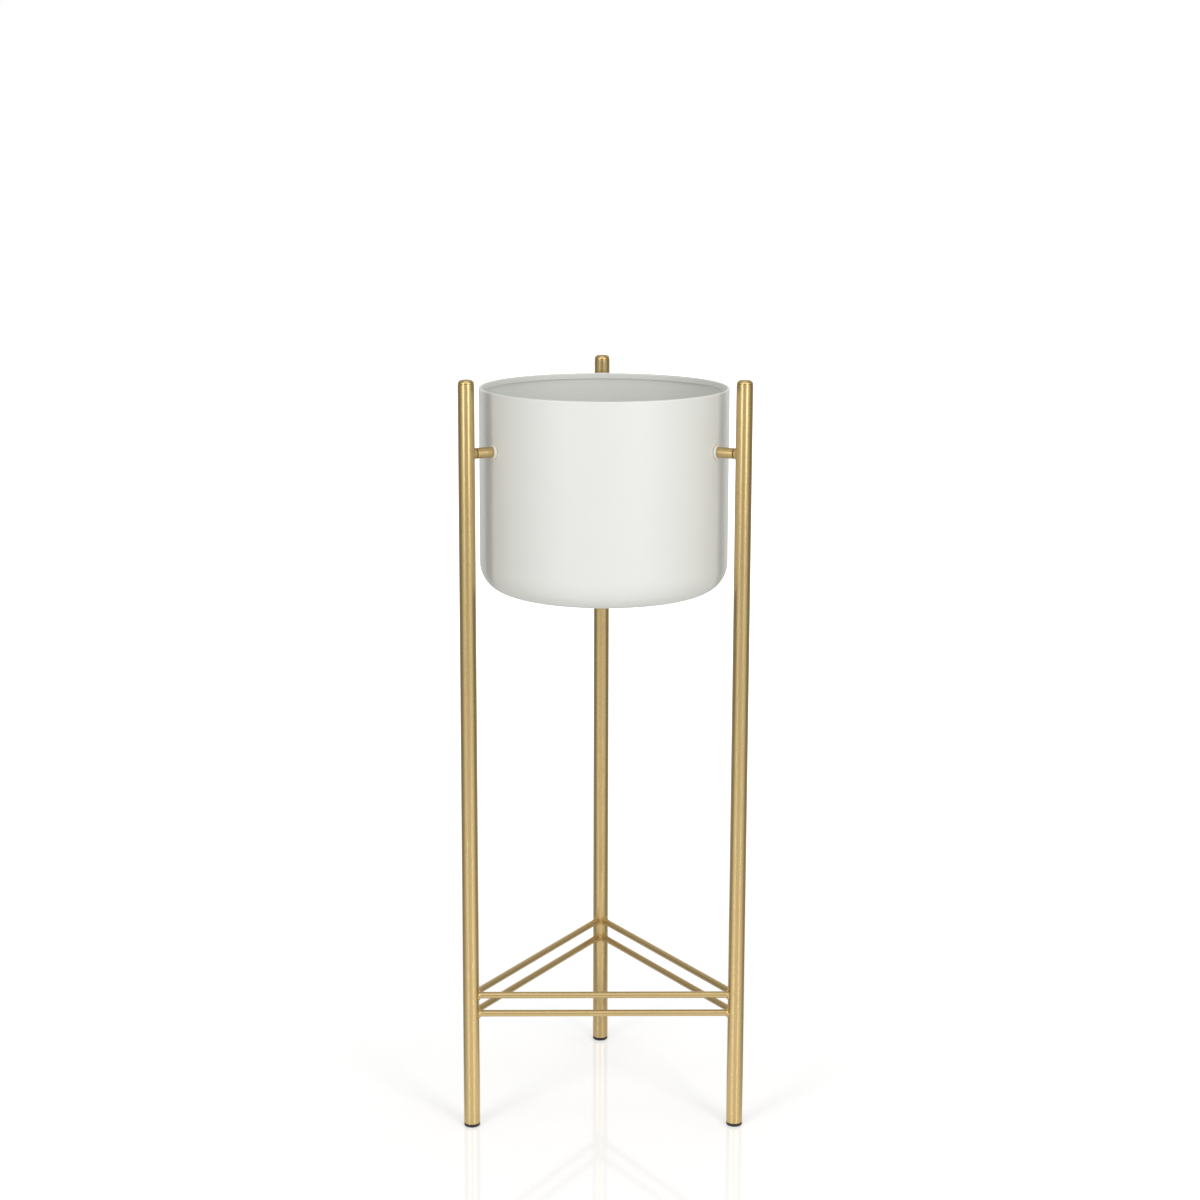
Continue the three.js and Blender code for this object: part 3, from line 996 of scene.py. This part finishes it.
rod_tree, given, size = new_shape_tree("fish_mouth_rod", ROD_SIZES)
unit_rod = add_node(rod_tree, "GeometryNodeMeshCylinder", {
    "Vertices": 32, "Side Segments": 24, "Fill Segments": 1, "Radius": 1.0, "Depth": 2.0,
}, fill_type="TRIANGLE_FAN")
here = add_node(rod_tree, "GeometryNodeInputPosition").outputs[0]
unit_x, unit_y, unit_z = apart(rod_tree, here)
outward = unit_z.size()
welded = outward.share(BARE_SHARE, 1.0)
lump = add_node(rod_tree, "ShaderNodeTexNoise", {
    "Vector": here, "W": size["Seed"], "Scale": LUMP_SCALE, "Detail": 1.0,
}, noise_dimensions="4D").outputs[0]
swell = size["Weld Rise"] * welded ** 2 + (Sum(rod_tree, lump) - 0.5) * welded * LUMP_SIZE
rod_radius = size["Rod Radius"] + swell
side, up = unit_x * rod_radius, unit_y * rod_radius
bare_end = mouth(size, side) - size["Weld Run"]
reach = bare_end * outward.share(0.0, BARE_SHARE) + size["Weld Run"] * welded
rod = reshape(
    rod_tree, unit_rod.outputs[0], together(rod_tree, unit_z.sign() * reach, side, up)
)
worn_weld = add_node(rod_tree, "GeometryNodeStoreNamedAttribute", {
    "Geometry": rod, "Name": "edge", "Value": welded * WELD_WEAR,
}, data_type="FLOAT", domain="POINT").outputs[0]

bead_parts = []
for end in (-1, 1):
    circle = add_node(
        rod_tree, "GeometryNodeMeshCircle", {"Vertices": size["Bead Count"], "Radius": 1.0}
    )
    point = add_node(rod_tree, "GeometryNodeInputPosition").outputs[0]
    ring_x, ring_y = apart(rod_tree, point)[:2]
    bead_circle = size["Rod Radius"] + size["Weld Rise"] * BEAD_RING
    bead_side = ring_x * bead_circle
    bead_reach = (mouth(size, bead_side) - size["Bead Radius"] * BEAD_SINK) * end
    path = reshape(rod_tree, circle.outputs[0],
                   together(rod_tree, bead_reach, bead_side, ring_y * bead_circle))
    ball = add_node(
        rod_tree, "GeometryNodeMeshIcoSphere", {"Radius": size["Bead Radius"], "Subdivisions": 2}
    )
    bead_size = add_node(rod_tree, "FunctionNodeRandomValue", {
        "Min": SMALLEST_BEAD, "Max": LARGEST_BEAD, "Seed": size["Seed"] + end,
    }, data_type="FLOAT_VECTOR").outputs[0]
    bead_parts.append(add_node(rod_tree, "GeometryNodeInstanceOnPoints", {
        "Points": path, "Instance": ball.outputs[0], "Scale": bead_size,
    }).outputs[0])
close_shape_tree(rod_tree, given, worn_weld, *bead_parts)


def beside_post(name, height):
    """The place of a rod on the side of the triangle that lies opposite a post."""
    angle = direction(name) + math.pi
    out = Vector((math.cos(angle), math.sin(angle), 0))
    centre = STAND_AXIS + out * (POST_CIRCLE / 2) + Vector((0, 0, height))
    turn = Matrix((
        (-out.y, -out.x, 0, 0),
        (out.x, -out.y, 0, 0),
        (0, 0, 1, 0),
        (0, 0, 0, 1),
    ))
    return Matrix.Translation(centre) @ turn


SIDES = {"front": "back", "right": "front_left", "left": "front_right"}
rod_seed = 0
for level in ("lower", "upper"):
    for side_name, opposite in SIDES.items():
        node = f"rail_{level}_{side_name}"
        rod_seed += 10
        rod_mesh = grown_mesh(rod_tree, dict(ROD_SIZES, Seed=rod_seed), gold_paint,
                              beside_post(opposite, middle(node).z))
        finish_piece(f"welded_rod_{level}_{side_name}", rod_mesh, gold_paint, "gold_paint", node)
print("welded rods:", 2 * len(SIDES), "with", 2 * ROD_SIZES["Bead Count"], "beads each")

# %% [markdown]
# ## The arms
#
# A short arm holds the pot to each post. From the post inwards it has a boss, a spacer
# sleeve, a nylon washer that keeps the paint whole, the pot's own wall, and a steel washer
# under the screw's head. The boss flares out over the post like a smooth painted weld, so
# the rings of its collar are placed by a rule: each point goes on until it reaches the round
# of the post. The chamfers of boss and sleeve leave the dark ring that shows between them.

# %% Make the arms
GROOVE_WIDTH = 0.5 * MM
GROOVE_DEPTH = 1.0 * MM
COLLAR_RISE = 1.1 * MM
COLLAR_STEPS = 10
NECK_RADIUS = 4.5 * MM
ARM_SIDES = 64
WELD_SINK = 0.12 * MM
sleeve_radius = extent("arm_sleeve_back").x / 2


def post_surface(side):
    """The station where the post's surface lies, at a distance to the side."""
    radius = POST_RADIUS - WELD_SINK
    return POST_CIRCLE - math.sqrt(radius ** 2 - min(abs(side), radius) ** 2)


def collar_station(toe, share):
    """A rule for one ring of the collar, from its toe to the round of the post."""
    return lambda side: toe + (post_surface(side) - toe) * share


def boss_profile():
    """The boss: a flared collar on the post, with a neck through the tube's wall."""
    face, end = stations("arm_boss_back")
    toe = face + GROOVE_WIDTH
    profile = [(SCREW_HOLE, face), (sleeve_radius - GROOVE_DEPTH, face), (sleeve_radius, toe)]
    for step in range(1, COLLAR_STEPS + 1):
        share = step / COLLAR_STEPS
        profile.append((sleeve_radius + COLLAR_RISE * share ** 2, collar_station(toe, share)))
    profile += [(NECK_RADIUS, post_surface), (NECK_RADIUS, end), (SCREW_HOLE, end)]
    return profile


def ring_profile(radius, start, end, near, far):
    """A plain ring on the screw. Each broken edge has a depth and a width along the arm."""
    return [
        (SCREW_HOLE, start),
        (radius - near[0], start),
        (radius, start + near[1]),
        (radius, end - far[1]),
        (radius - far[0], end),
        (SCREW_HOLE, end),
    ]


BROKEN_EDGE = (0.3 * MM, 0.3 * MM)
STAMPED_EDGE = (0.15 * MM, 0.15 * MM)
GROOVE = (GROOVE_DEPTH, GROOVE_WIDTH)
ARM_RINGS = {
    "arm_sleeve": ("spacer_sleeve", gold_paint, "gold_paint", BROKEN_EDGE, GROOVE),
    "nylon_washer": ("milky_washer", milky_nylon, "nylon", BROKEN_EDGE, BROKEN_EDGE),
    "steel_washer": ("plated_washer", plated_steel, "screw_steel", STAMPED_EDGE, STAMPED_EDGE),
}
for name in POSTS:
    place = along_arm(name)
    boss = turned_mesh("boss", boss_profile(), ARM_SIDES, place)
    finish_piece(f"flared_boss_{name}", boss, gold_paint, "gold_paint", f"arm_boss_{name}")
    for node, (piece_name, finish, slot, near, far) in ARM_RINGS.items():
        start, end = stations(f"{node}_back")
        radius = extent(f"{node}_back").x / 2
        profile = ring_profile(radius, start, end, near, far)
        ring = turned_mesh(node, profile, ARM_SIDES, place)
        finish_piece(f"{piece_name}_{name}", ring, finish, slot, f"{node}_{name}")
print("pieces on the arms:", len(POSTS) * (1 + len(ARM_RINGS)))

# %% [markdown]
# ## The screws
#
# No screw head shows outside, so each arm is pulled tight by a button-head screw from inside
# the pot. Its six-sided socket is a radius rule on the lathe. The thread is a ridge that
# follows a spiral: Geometry Nodes sweep a small triangle along it.

# %% Make the screws
SCREW_CORE = 2.55 * MM
SEAT_GAP = 0.3 * MM
HEAD_HEIGHT = 3.3 * MM
SOCKET_HALF = 2.0 * MM
SOCKET_DEPTH = 2.2 * MM
SOCKET_POINT = 0.5 * MM
SOCKET_BREAK = 0.15 * MM
SOCKET_TAPER = 0.05 * MM
LIP_DROP = 0.02 * MM
HEAD_BREAK = 0.1 * MM
DOME_START = 24
DOME_STEPS = 10
SHANK_LEAD = 0.5 * MM
TIP_CHAMFER = 0.6 * MM
SCREW_SIDES = 48
THREAD_RADIUS = 3.0 * MM
THREAD_LEAD = 0.3 * MM
RIDGE_SINK = 0.33
RIDGE_SIZE = 0.62
THREAD_SIZES = {
    "Pitch": 1.0 * MM,
    "Length": 24.0 * MM,
    "Core Radius": SCREW_CORE,
    "Ridge": THREAD_RADIUS - SCREW_CORE,
    "Start": 0.0,
}


def hexagon(half):
    """A radius rule for six flats, each as far from the axis as half says."""
    sixth = math.pi / 3

    def rule(angle):
        return half / math.cos((angle + sixth / 2) % sixth - sixth / 2)

    return rule


def screw_profile(seat, tip):
    """A screw's core with a button head, whose socket opens towards the pot's middle."""
    top = seat - HEAD_HEIGHT
    head_radius = extent("pot_screw_back").x / 2
    dome = []
    for step in range(DOME_STEPS + 1):
        angle = math.radians(DOME_START + (90 - DOME_START) * step / DOME_STEPS)
        dome.append((head_radius * math.sin(angle), seat - HEAD_HEIGHT * math.cos(angle)))
    lip = dome[0][1] + LIP_DROP
    shank_end = tip - THREAD_SIZES["Length"]
    return [
        (0, top + SOCKET_DEPTH + SOCKET_POINT),
        (hexagon(SOCKET_HALF - SOCKET_TAPER), top + SOCKET_DEPTH),
        (hexagon(SOCKET_HALF), lip + SOCKET_BREAK),
        *dome,
        (head_radius - HEAD_BREAK, seat),
        (THREAD_RADIUS, seat),
        (THREAD_RADIUS, shank_end),
        (SCREW_CORE, shank_end + SHANK_LEAD),
        (SCREW_CORE, tip - TIP_CHAMFER),
        (SCREW_CORE - TIP_CHAMFER, tip),
        (0, tip),
    ]


thread_tree, given, size = new_shape_tree("thread_on_a_screw", THREAD_SIZES)
ridge = size["Ridge"]
spiral_radius = size["Core Radius"] + ridge * RIDGE_SINK
spiral = add_node(thread_tree, "GeometryNodeCurveSpiral", {
    "Resolution": 20, "Rotations": size["Length"] / size["Pitch"] - 1.0,
    "Start Radius": spiral_radius, "End Radius": spiral_radius,
    "Height": size["Length"] - size["Pitch"],
})
level_curve = add_node(
    thread_tree, "GeometryNodeSetCurveNormal", {0: spiral.outputs[0]}, mode="Z_UP"
)
triangle = add_node(thread_tree, "GeometryNodeCurvePrimitiveCircle", {
    "Resolution": 3, "Radius": ridge * RIDGE_SIZE,
})
swept = add_node(thread_tree, "GeometryNodeCurveToMesh", {
    "Curve": level_curve.outputs[0], "Profile Curve": triangle.outputs[0], "Fill Caps": True,
})
thread = add_node(thread_tree, "GeometryNodeTransform", {
    "Geometry": swept.outputs[0], "Translation": together(thread_tree, 0, 0, size["Start"]),
})
close_shape_tree(thread_tree, given, given["Geometry"], thread.outputs[0])

washer_start = stations("steel_washer_back")[0]
screw_tip = stations("pot_screw_back")[1]
thread_start = screw_tip - THREAD_SIZES["Length"] + THREAD_LEAD
for name in POSTS:
    core = turned_mesh("screw", screw_profile(washer_start - SEAT_GAP, screw_tip),
                       SCREW_SIDES, Matrix.Identity(4))
    screw = grown_mesh(thread_tree, dict(THREAD_SIZES, Start=thread_start), plated_steel,
                       along_arm(name), core)
    finish_piece(f"button_screw_{name}", screw, plated_steel, "screw_steel", f"pot_screw_{name}")
print("screws:", len(POSTS))

# %% [markdown]
# ## Finish
#
# The last line sets the scene's view transform to Standard.

# %% Set the view
bpy.context.scene.view_settings.view_transform = "Standard"
